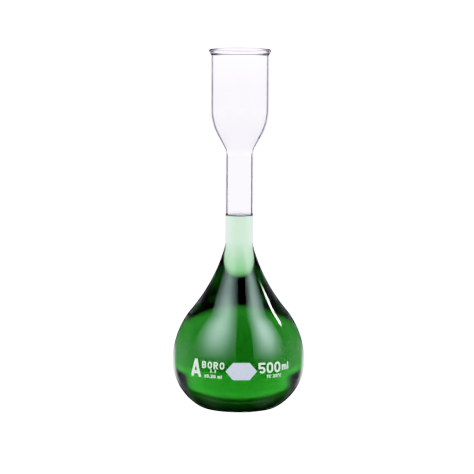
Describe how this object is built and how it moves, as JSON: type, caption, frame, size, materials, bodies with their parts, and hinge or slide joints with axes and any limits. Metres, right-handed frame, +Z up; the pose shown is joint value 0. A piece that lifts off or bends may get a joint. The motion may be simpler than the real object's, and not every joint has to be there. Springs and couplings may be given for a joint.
{
  "type": "volumetric flask",
  "caption": "Flat-based pear-shaped glass measuring flask with a narrow neck and a wide cup mouth, filled with green solution to its graduation line.",
  "frame": {"origin": "centre of the circle on which the base stands, on the table", "axes": "+Z up along the flask's axis, -Y towards the printed marks, +X to their right"},
  "size_m": [0.1, 0.1001, 0.27],
  "materials": {
    "borosilicate": "fire-polished",
    "green_solution": "liquid",
    "white_enamel": "satin, fired",
    "patch_enamel": "matt, fired"
  },
  "bodies": {
    "root": {"bulb": "borosilicate", "neck": "borosilicate", "cup": "borosilicate", "solution": "green_solution", "graduation_line": "white_enamel", "writing_patch": "patch_enamel", "capacity_digits": "white_enamel", "unit_mark": "white_enamel", "class_mark": "white_enamel", "temperature_mark": "white_enamel", "glass_mark": "white_enamel", "tolerance_mark": "white_enamel"}
  },
  "joints": []
}
